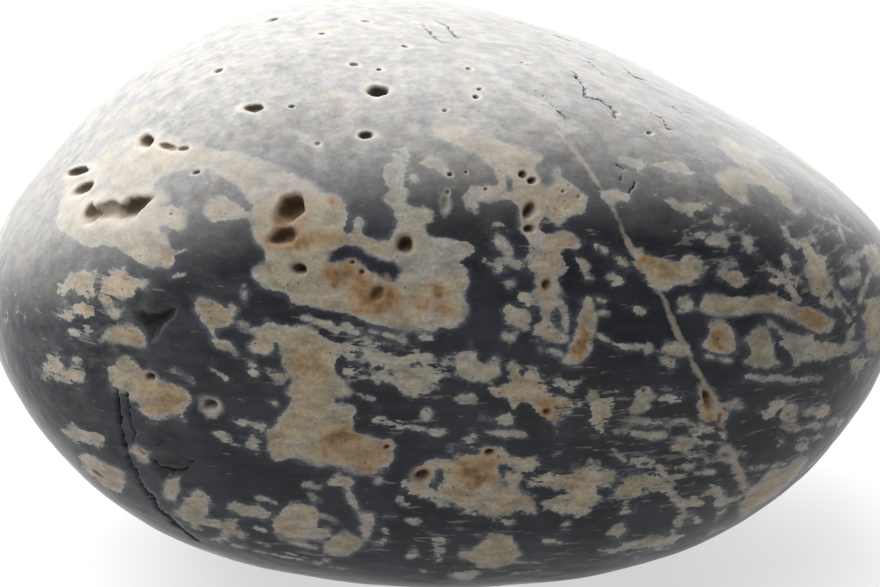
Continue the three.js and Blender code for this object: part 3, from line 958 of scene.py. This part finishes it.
def carve_rest(points):
    """How deep the swells, knocks, cracks and chips are at points."""
    swell = fractal(points, (17, 17, 12), 2, 3.0)
    knocks = fractal(points, (2.6, 2.6, 1.8), 3, 11.0)
    depth = SWELL_DEPTH * np.clip(0.5 + swell, 0, 1.2) + KNOCK_DEPTH * np.clip(knocks, -0.2, 1)
    broken = jagged(points)
    for corners, half, deep in cracks:
        depth = depth + deep * groove(broken, corners, half)
    spots = to_picture(points)
    shown = facing(points) > 0
    for outline, deepest in CHIPS:
        hollow = np.clip(inside_outline(spots, outline) / PIXELS_PER_MM * CHIP_SLOPE, 0, deepest)
        depth = depth + np.where(shown, hollow, 0)
    return depth


def soft_spots(spots, rows):
    """The strongest of several soft elliptical spots at each place."""
    strength = np.zeros(len(spots))
    for x, y, across, down, strong in rows:
        spread = np.hypot((spots[:, 0] - x) / across, (spots[:, 1] - y) / down)
        strength = np.maximum(strength, strong * (1 - smooth_step(spread, 0.1, 1.3)))
    return strength


# How far from an edge the distances to cream and to the vein are told apart, in millimetres.
FIELD_LIMIT = 2.0

# Where no patch is near: how little its warmth and brokenness count beside a patch's, and how warm it is.
FAR_WEIGHT = 1e-6
FAR_WARMTH = 0.4

# How quickly one patch's warmth and brokenness give way to the next one's.
PATCH_SHARPNESS = 4


def patch_fields(points):
    """How far inside cream each point lies in millimetres, how warm that cream is and how broken."""
    spots = to_picture(points)
    cream = np.full(len(points), -FIELD_LIMIT)
    weight = np.full(len(points), FAR_WEIGHT)
    warmth = weight * FAR_WARMTH
    broken = weight * WORN
    margin = FIELD_LIMIT * PIXELS_PER_MM
    for warm, ragged, outline in PATCHES:
        low = np.min(outline, axis=0) - margin
        high = np.max(outline, axis=0) + margin
        near = ((spots > low) & (spots < high)).all(axis=1)
        inside = inside_outline(spots[near], outline) / PIXELS_PER_MM
        cream[near] = np.maximum(cream[near], inside)
        share = np.exp(np.clip(inside, -FIELD_LIMIT, 1) * PATCH_SHARPNESS)
        weight[near] += share
        warmth[near] += share * warm
        broken[near] += share * ragged
    for outline in GAPS:
        cream = np.minimum(cream, -inside_outline(spots, outline) / PIXELS_PER_MM)
    for start, end, half in dashes:
        cream = np.maximum(cream, half - segment_distance(points, start, end))
    for start, end, half in dark_dashes:
        cream = np.minimum(cream, segment_distance(points, start, end) - half)
    return cream, warmth / weight, broken / weight


def hidden_fields(points):
    """The same three fields for the sides that the picture doesn't show, from solid noise."""
    bedded = fractal(points, (11, 11, 6.5), 4, 41.0)
    broad = fractal(points, (34, 34, 26), 2, 57.0)
    cream = (bedded - 0.17 + 0.35 * broad) * 3.2
    warmth = np.clip(0.45 + 0.7 * fractal(points, (15, 15, 9), 2, 71.0), 0, 1)
    broken = np.clip(1.1 + 1.6 * fractal(points, (19, 19, 12), 2, 83.0), 0.7, 2.2)
    return np.clip(cream, -FIELD_LIMIT, FIELD_LIMIT), warmth, broken


# How far the edges of stains wander, in pixels.
STAIN_WANDER = 11

# How flecked and how veiled the hidden sides are.
HIDDEN_FLECK = 0.3
HIDDEN_VEIL = 0.5

# How dark the painted shade in a chip's hollow is, and how many pixels from its rim it gets so.
CHIP_SHADE = 0.7
CHIP_FADE = 4

# The way that the pale crust, partly a painted highlight, faces most: upwards and to the left.
CRUST_AND_LIGHT_SIDE = unit_direction(160, 74)


def crack_and_chip_shade_field(points, spots, shown):
    """How black each point is from cracks, and from shade painted into chips."""
    crack = np.zeros(len(points))
    broken = jagged(points)
    for corners, half, _ in cracks:
        crack = np.maximum(crack, groove(broken, corners, half))
    for outline, _ in CHIPS:
        chipped = smooth_step(inside_outline(spots, outline), 0, CHIP_FADE)
        # Painted shade in the chips' hollows.
        crack = np.maximum(crack, CHIP_SHADE * chipped * shown)
    return crack


def surface_fields(points):
    """Every field that the stone's material reads besides the borings', each as one number per point."""
    spots = to_picture(points)
    shown = smooth_step(facing(points), 0.02, 0.2)

    def blend(front, hidden):
        return front * shown + hidden * (1 - shown)

    cream, warmth, ragged = map(blend, patch_fields(points), hidden_fields(points))
    hidden_stain = np.clip(fractal(points, (9, 9, 6), 3, 97.0) * 2.2 - 0.75, 0, 0.9)
    wander = np.stack([fractal(points, (1.7, 1.7, 1.3), 4, seed) for seed in (191.0, 211.0)], axis=1)
    vein_inside = VEIN_HALF_WIDTH - course_distance(points, vein)
    return {
        "cream": cream,
        "warmth": warmth - soft_spots(spots, GREYED) * shown,
        "broken": ragged,
        "stain": blend(soft_spots(spots + STAIN_WANDER * wander, STAINS), hidden_stain),
        "fleck": blend(soft_spots(spots, FLECKED), HIDDEN_FLECK),
        "veil": blend(soft_spots(spots, VEILED), HIDDEN_VEIL),
        "vein": np.maximum(vein_inside, -FIELD_LIMIT),
        # Black cracks, and painted shade in the chips.
        "crack": crack_and_chip_shade_field(points, spots, shown),
        # A pale crust, partly a painted highlight on the side that faces up and to the left.
        "crust_and_highlight": smooth_step(outward(points) @ CRUST_AND_LIGHT_SIDE, 0.32, 0.98),
    }


def centre_in_frame(points):
    """Where the worn form's centre lies in the frame, in millimetres."""
    low, high = (np.array(corner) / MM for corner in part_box("pebble"))
    middle = (low + high) / 2 - (points.min(axis=0) + points.max(axis=0)) / 2
    return np.array([middle[0], middle[1], low[2] + RESTING_DEPTH])


def build_stone():
    """The stone's mesh in the frame, with its fields as vertex attributes, and where its centre lies."""
    directions, triangles = stone_mesh()
    worn = on_surface(directions)
    bored_depth, boring_fields = carve_borings(worn)
    depth = bored_depth + carve_rest(worn)
    centre = centre_in_frame(worn)
    placed = worn - directions * depth[:, None] + centre
    # The resting face is level with the floor.
    placed[:, 2] = np.maximum(placed[:, 2], 0)
    mesh = bpy.data.meshes.new("river_pebble")
    mesh.from_pydata((placed * MM).tolist(), [], triangles.tolist())
    mesh.polygons.foreach_set("use_smooth", np.ones(len(triangles), bool))
    fields = surface_fields(worn) | boring_fields
    for name, values in fields.items():
        attribute = mesh.attributes.new(name, "FLOAT", "POINT")
        attribute.data.foreach_set("value", values.astype(np.float32))
    mesh.validate()
    mesh.update()
    piece = bpy.data.objects.new("river_pebble", mesh)
    bpy.context.scene.collection.objects.link(piece)
    return piece, centre


class Nodes:
    """Short ways to add shader nodes and join them up."""

    def __init__(self, tree):
        self.tree = tree

    def add(self, kind, inputs=None, **settings):
        """A new node with these settings, and these values or outputs put into its inputs."""
        node = self.tree.nodes.new(kind)
        for name, value in settings.items():
            setattr(node, name, value)
        for name, value in (inputs or {}).items():
            self.put(node.inputs[name], value)
        return node

    def put(self, socket, value):
        """Joins another node's output to a socket, or sets the socket to a plain value."""
        if isinstance(value, bpy.types.NodeSocket):
            self.tree.links.new(value, socket)
        else:
            socket.default_value = value

    def math(self, operation, *values, clamp=False):
        inputs = dict(enumerate(values))
        return self.add("ShaderNodeMath", inputs, operation=operation, use_clamp=clamp).outputs[0]

    def plus(self, a, b):
        return self.math("ADD", a, b)

    def times(self, a, b):
        return self.math("MULTIPLY", a, b)

    def scaled(self, value, factor, shift=0.0):
        return self.math("MULTIPLY_ADD", value, factor, shift)

    def step(self, value, low, high, start=0.0, end=1.0):
        """Goes smoothly from start, where the value is low, to end, where it is high."""
        inputs = {"Value": value, "From Min": low, "From Max": high, "To Min": start, "To Max": end}
        return self.add("ShaderNodeMapRange", inputs, interpolation_type="SMOOTHSTEP").outputs["Result"]

    def mix(self, share, a, b, blend="MIX"):
        """Colour a with a share of colour b in it."""
        node = self.add("ShaderNodeMix", data_type="RGBA", blend_type=blend)
        sockets = [socket for socket in node.inputs if socket.enabled]
        for socket, value in zip(sockets, (share, a, b)):
            self.put(socket, value)
        return [socket for socket in node.outputs if socket.enabled][0]

    def grey(self, value):
        return self.add("ShaderNodeCombineColor", {0: value, 1: value, 2: value}).outputs[0]

    def noise(self, vector, scale, detail=2.0, roughness=0.5):
        """Solid noise about a half, with features about one over the scale in size."""
        inputs = {"Vector": vector, "Scale": scale, "Detail": detail, "Roughness": roughness}
        return self.add("ShaderNodeTexNoise", inputs).outputs["Fac"]

    def stretched(self, vector, sizes):
        """A place whose noise is drawn out along the axes where the sizes are small."""
        return self.add("ShaderNodeMapping", {"Vector": vector, "Scale": sizes}).outputs["Vector"]

    def field(self, name):
        """One of the stone's vertex attributes."""
        return self.add("ShaderNodeAttribute", attribute_name=name).outputs["Fac"]


# Colours of the dark rock, of its brown veil, of the haze beside cream and of its flecks.
DARK_ROCK = (0.0062, 0.0068, 0.0094, 1)
LIGHT_ROCK = (0.017, 0.0190, 0.0255, 1)
VEIL_ROCK = (0.066, 0.064, 0.062, 1)
HAZE_ROCK = (0.080, 0.087, 0.098, 1)
FLECK_GREY = (0.125, 0.118, 0.105, 1)

# Colours of the cream, of its rim and of its specks.
PALE_CREAM = (0.218, 0.206, 0.180, 1)
BEIGE_CREAM = (0.232, 0.190, 0.132, 1)
TAN_CREAM = (0.205, 0.138, 0.072, 1)
OLIVE_CREAM = (0.198, 0.182, 0.130, 1)
RIM_GREY = (0.20, 0.193, 0.178, 1)
SPECK_BROWN = (0.05, 0.035, 0.022, 1)

# Colours of the iron stains, the borings, the painted shade deep in borings, and the cracks.
RUST = (0.075, 0.038, 0.017, 1)
AMBER = (0.21, 0.110, 0.038, 1)
BORING_BROWN = (0.155, 0.085, 0.038, 1)
BORING_SHADE = (0.016, 0.012, 0.009, 1)
CRACK_BLACK = (0.007, 0.007, 0.008, 1)

# Colours of the pale crust, which is partly a painted highlight on the side that the light falls on.
LIT_CRUST = (0.315, 0.306, 0.288, 1)
LIT_CRUST_DARK = (0.205, 0.205, 0.203, 1)
LIT_CRUST_WARM = (0.33, 0.283, 0.226, 1)
LIT_CRUST_LINE = (0.43, 0.40, 0.355, 1)

# How noise is stretched along the bedding, which lies nearly level: a little, for clouds, patches and
# mottling, and much, for threads, layers and dashes.
EDGE_BEDDING = (1.0, 1.0, 1.5)
CLOUD_BEDDING = (0.8, 0.8, 1.3)
MOTTLE_BEDDING = (0.8, 0.8, 1.7)
THREAD_BEDDING = (0.5, 0.5, 2.0)
LAYER_BEDDING = (0.35, 0.35, 2.4)
DASH_BEDDING = (0.45, 0.45, 2.3)

# How noise is stretched in the crust: a little, along the stone's length.
CRUST_STRETCH = (0.7, 1.0, 1.0)


def cream_inside(n, place):
    """How far inside cream a place is in millimetres, once the edge is broken up."""
    bedded = n.stretched(place, EDGE_BEDDING)
    coarse = n.scaled(n.noise(bedded, 0.6, 4.0, 0.55), 1.9, -0.95)
    fine = n.scaled(n.noise(bedded, 2.6, 2.0, 0.5), 0.5, -0.25)
    ragged = n.times(n.plus(coarse, fine), n.field("broken"))
    threads = n.noise(n.stretched(place, THREAD_BEDDING), 1.1, 4.0, 0.6)
    threads = n.times(n.step(threads, 0.56, 0.68, 0.0, -0.9), n.step(n.field("broken"), 0.7, 1.6))
    return n.plus(n.field("cream"), n.plus(ragged, threads))


def rock_colour(n, place, inside):
    """Dark rock with clouds, thin bedding, flecks and a paler haze beside cream."""
    clouds = n.noise(place, 0.16, 4.0, 0.6)
    layers = n.noise(n.stretched(place, LAYER_BEDDING), 0.55, 4.0, 0.6)
    shade = n.step(n.plus(n.scaled(clouds, 0.65), n.scaled(layers, 0.35)), 0.36, 0.66)
    colour = n.mix(shade, DARK_ROCK, LIGHT_ROCK)
    cloudy = n.step(n.noise(n.stretched(place, CLOUD_BEDDING), 0.35, 6.0, 0.7), 0.4, 0.68, 0.0, 0.8)
    colour = n.mix(n.times(cloudy, n.field("veil")), colour, VEIL_ROCK)
    haze = n.times(n.step(inside, -0.6, 0.0, 0.0, 0.6), n.step(clouds, 0.35, 0.65, 0.15, 1.0))
    colour = n.mix(haze, colour, HAZE_ROCK)
    dash_noise = n.noise(n.stretched(place, DASH_BEDDING), 1.0, 4.0, 0.55)
    crowd = n.scaled(n.field("fleck"), 0.13)
    dash = n.step(n.plus(dash_noise, crowd), 0.64, 0.72)
    colour = n.mix(n.scaled(dash, 0.6), colour, FLECK_GREY)
    dots = n.step(n.noise(place, 3.4, 1.0, 0.5), 0.76, 0.8, 0.0, 0.5)
    return n.mix(dots, colour, FLECK_GREY)


def cream_colour(n, place, inside):
    """Cream from grey to tan, mottled and speckled, with a greyer rim."""
    mottle = n.noise(place, 0.33, 4.0, 0.6)
    warmth = n.plus(n.field("warmth"), n.scaled(mottle, 2.6, -1.3))
    colour = n.mix(n.step(warmth, 0.0, 0.55), PALE_CREAM, BEIGE_CREAM)
    colour = n.mix(n.step(warmth, 0.55, 1.15), colour, TAN_CREAM)
    olive = n.step(n.noise(place, 0.13, 4.0, 0.6), 0.42, 0.62, 0.0, 0.65)
    colour = n.mix(olive, colour, OLIVE_CREAM)
    rim = n.step(inside, 0.05, 0.6, 0.8, 0.0)
    colour = n.mix(rim, colour, RIM_GREY)
    tone = n.step(n.noise(n.stretched(place, MOTTLE_BEDDING), 0.55, 5.0, 0.66), 0.3, 0.68, 0.64, 1.18)
    fine = n.step(n.noise(place, 3.0, 3.0, 0.6), 0.3, 0.7, 0.86, 1.12)
    colour = n.mix(1.0, colour, n.grey(n.times(tone, fine)), "MULTIPLY")
    cells = n.add("ShaderNodeTexVoronoi", {"Vector": place, "Scale": 1.2, "Randomness": 1.0})
    sparse = n.step(n.noise(place, 0.5, 1.0, 0.5), 0.48, 0.6)
    specks = n.times(n.step(cells.outputs["Distance"], 0.09, 0.17, 1.0, 0.0), sparse)
    return n.mix(n.scaled(specks, 0.85), colour, SPECK_BROWN)


def with_vein(n, place, colour):
    """A colour crossed by the pale vein, whose edges wander."""
    wander = n.scaled(n.noise(place, 0.5, 5.0, 0.7), 1.5, -0.8)
    share = n.step(n.plus(n.field("vein"), wander), -0.2, 0.2, 0.0, 0.7)
    return n.mix(share, colour, n.mix(n.noise(place, 0.5), PALE_CREAM, BEIGE_CREAM))


def with_stains(n, place, inside, colour):
    """A colour blotched with iron, from amber to rust, where it is cream."""
    blotch = n.scaled(n.noise(place, 0.7, 6.0, 0.75), 1.9, -0.95)
    soaked = n.plus(n.scaled(n.field("stain"), 1.85), blotch)
    stained = n.step(soaked, 0.0, 2.1, 0.0, 0.95)
    stained = n.times(stained, n.step(n.field("stain"), 0.0, 0.3))
    stained = n.times(stained, n.step(inside, -0.1, 0.25))
    iron = n.plus(soaked, n.scaled(n.noise(place, 2.4, 4.0, 0.7), 3.0, -1.5))
    return n.mix(stained, colour, n.mix(n.step(iron, 0.7, 2.5), AMBER, RUST))


def with_hollows(n, colour):
    """A colour with brown borings, painted shade deep in them, black cracks and painted shade in chips."""
    colour = n.mix(n.scaled(n.field("brown"), 0.7), colour, BORING_BROWN)
    # Painted shade deep in the borings.
    colour = n.mix(n.step(n.field("bored_and_shaded"), 0.3, 1.0, 0.0, 0.75), colour, BORING_SHADE)
    return n.mix(n.step(n.field("crack"), 0.2, 0.8, 0.0, 0.95), colour, CRACK_BLACK)


def crust_and_highlight_colour(n, place):
    """Pale crust, partly a painted highlight, finely mottled, with warm places and thin winding lines."""
    mottle = n.step(n.noise(n.stretched(place, CRUST_STRETCH), 0.9, 6.0, 0.72), 0.3, 0.7)
    colour = n.mix(mottle, LIT_CRUST_DARK, LIT_CRUST)
    warm = n.step(n.noise(place, 0.26, 4.0, 0.65), 0.48, 0.68, 0.0, 0.6)
    colour = n.mix(warm, colour, LIT_CRUST_WARM)
    winding = n.math("ABSOLUTE", n.scaled(n.noise(place, 0.3, 2.0, 0.5), 1.0, -0.5))
    lines = n.step(winding, 0.004, 0.016, 1.0, 0.0)
    lines = n.times(lines, n.step(n.noise(place, 0.2), 0.5, 0.6))
    pale = n.math("MAXIMUM", n.scaled(lines, 0.35), n.scaled(n.field("ring"), 0.6))
    return n.mix(pale, colour, LIT_CRUST_LINE)


def with_crust_and_highlight(n, place, colour):
    """A colour under the pale crust, which is partly a painted highlight: it is thickest where the stone
    faces up, towards the light, and leaves hollows free.
    """
    patchy = n.step(n.noise(place, 0.6, 5.0, 0.7), 0.25, 0.7, 0.5, 0.88)
    hollow = n.math("MAXIMUM", n.field("bored_and_shaded"), n.field("crack"))
    # Painted highlight, partly a real crust: laid on the side that faces up and to the left.
    crust_and_light = n.times(n.field("crust_and_highlight"), patchy)
    crust_and_light = n.times(crust_and_light, n.step(hollow, 0.1, 0.7, 1.0, 0.0))
    return n.mix(crust_and_light, colour, crust_and_highlight_colour(n, place))


# How strongly the stone reflects light, and the pale sheen that it has at grazing angles.
SPECULAR_LEVEL = 0.2
SHEEN_WEIGHT = 0.3
SHEEN_ROUGHNESS = 0.28

# How deep its fine grain is, in metres, and how strongly that shows.
GRAIN_DEPTH = 0.00006
GRAIN_STRENGTH = 0.6


def finish_stone(n, shader, place, cream):
    """The stone's gloss, which cream and borings dull, its sheen and its fine grain."""
    gloss = n.scaled(n.noise(place, 0.8, 4.0, 0.6), 0.16, 0.38)
    rough = n.plus(gloss, n.scaled(cream, 0.08))
    rough = n.math("ADD", rough, n.scaled(n.field("bored_and_shaded"), 0.35), clamp=True)
    n.put(shader.inputs["Roughness"], rough)
    shader.inputs["Specular IOR Level"].default_value = SPECULAR_LEVEL
    shader.inputs["Sheen Weight"].default_value = SHEEN_WEIGHT
    shader.inputs["Sheen Roughness"].default_value = SHEEN_ROUGHNESS
    grain = n.plus(n.scaled(n.noise(place, 1.4, 5.0, 0.6), 0.7), n.scaled(cream, -0.12))
    bump = {"Height": grain, "Strength": GRAIN_STRENGTH, "Distance": GRAIN_DEPTH}
    n.put(shader.inputs["Normal"], n.add("ShaderNodeBump", bump).outputs["Normal"])


def stone_material():
    """Dark rock and cream, stained by iron, with borings, cracks, a vein and a pale crust, with painted shade
    in borings and chips and a painted highlight in the crust.
    """
    material = bpy.data.materials.new("river_stone")
    material.use_nodes = True
    n = Nodes(material.node_tree)
    shader = material.node_tree.nodes["Principled BSDF"]
    metres = n.add("ShaderNodeTexCoord").outputs["Object"]
    place = n.add("ShaderNodeVectorMath", {0: metres, "Scale": 1 / MM}, operation="SCALE").outputs[0]
    inside = cream_inside(n, place)
    softness = n.step(n.noise(place, 0.3, 3.0), 0.4, 0.62, 0.07, 0.3)
    cream = n.step(inside, n.scaled(softness, -1.0), softness)
    colour = n.mix(cream, rock_colour(n, place, inside), cream_colour(n, place, inside))
    colour = with_vein(n, place, colour)
    # Pale rings round the borings.
    colour = n.mix(n.scaled(n.field("ring"), 0.5), colour, PALE_CREAM)
    colour = with_stains(n, place, inside, colour)
    colour = with_hollows(n, colour)
    colour = with_crust_and_highlight(n, place, colour)
    n.put(shader.inputs["Base Color"], colour)
    finish_stone(n, shader, place, cream)
    return material


# The floor: its side in metres, its faintly clouded greys, and how much it glows.
FLOOR_SIZE = 6.0
FLOOR_DARK = (0.25, 0.25, 0.25, 1)
FLOOR_LIGHT = (0.26, 0.26, 0.26, 1)
FLOOR_GLOW = 0.62
WHITE = (1, 1, 1, 1)


def floor_material():
    """A dull pale floor that glows faintly, so that it shows as white."""
    material = bpy.data.materials.new("pale_floor")
    material.use_nodes = True
    n = Nodes(material.node_tree)
    shader = material.node_tree.nodes["Principled BSDF"]
    place = n.add("ShaderNodeTexCoord").outputs["Object"]
    n.put(shader.inputs["Base Color"], n.mix(n.noise(place, 6.0), FLOOR_DARK, FLOOR_LIGHT))
    shader.inputs["Roughness"].default_value = 0.9
    shader.inputs["Specular IOR Level"].default_value = 0.1
    shader.inputs["Emission Color"].default_value = WHITE
    shader.inputs["Emission Strength"].default_value = FLOOR_GLOW
    return material


def build_floor():
    half = FLOOR_SIZE / 2
    corners = [(-half, -half, 0), (half, -half, 0), (half, half, 0), (-half, half, 0)]
    mesh = bpy.data.meshes.new("floor")
    mesh.from_pydata(corners, [], [(0, 1, 2, 3)])
    floor = bpy.data.objects.new("floor", mesh)
    floor.data.materials.append(floor_material())
    bpy.context.scene.collection.objects.link(floor)


# How near the camera can see, in metres.
CLIP_START = 0.01


def build_camera(centre):
    """The picture's camera, about the stone's centre."""
    camera = bpy.data.objects.new("camera", bpy.data.cameras.new("camera"))
    camera.data.lens = LENS
    camera.data.sensor_width = SENSOR
    camera.data.clip_start = CLIP_START
    camera.location = Vector((centre + EYE) * MM)
    camera.rotation_euler = Vector(FORWARD).to_track_quat("-Z", "Y").to_euler()
    bpy.context.scene.collection.objects.link(camera)
    bpy.context.scene.camera = camera


# The soft box overhead: its middle and size in metres, and its power.
SOFT_BOX_PLACE = (-0.34, 0.36, 0.52)
SOFT_BOX_SIZE = (0.92, 1.64)
SOFT_BOX_POWER = 18.0

# How bright the surroundings are behind the stone and in front of it, and how much brighter on its left.
BACK_GLOW = 2.8
FRONT_GLOW = 0.06
LEFT_GLOW = 2.4


def build_soft_box():
    """A wide level soft box overhead, mostly behind the stone and to its left."""
    lamp = bpy.data.lights.new("soft_box", "AREA")
    lamp.shape = "RECTANGLE"
    lamp.size, lamp.size_y = SOFT_BOX_SIZE
    lamp.energy = SOFT_BOX_POWER
    soft_box = bpy.data.objects.new("soft_box", lamp)
    soft_box.location = SOFT_BOX_PLACE
    bpy.context.scene.collection.objects.link(soft_box)


def build_surroundings():
    """Pale surroundings, brightest behind the stone and on its left."""
    world = bpy.data.worlds.new("studio")
    world.use_nodes = True
    bpy.context.scene.world = world
    n = Nodes(world.node_tree)
    background = world.node_tree.nodes["Background"]
    direction = n.add("ShaderNodeTexCoord").outputs["Generated"]
    axes = n.add("ShaderNodeSeparateXYZ", {0: direction})
    behind = n.step(axes.outputs["Y"], -0.1, 0.8)
    left = n.step(n.scaled(axes.outputs["X"], -1.0), 0.6, 0.97)
    glow = n.plus(n.scaled(behind, BACK_GLOW, FRONT_GLOW), n.scaled(left, LEFT_GLOW))
    n.put(background.inputs["Strength"], glow)
    background.inputs["Color"].default_value = WHITE


stone, stone_centre = build_stone()
stone.data.materials.append(stone_material())
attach(stone, "root")
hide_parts("pebble")
build_floor()
build_camera(stone_centre)
build_soft_box()
build_surroundings()
bpy.context.scene.view_settings.view_transform = "Standard"
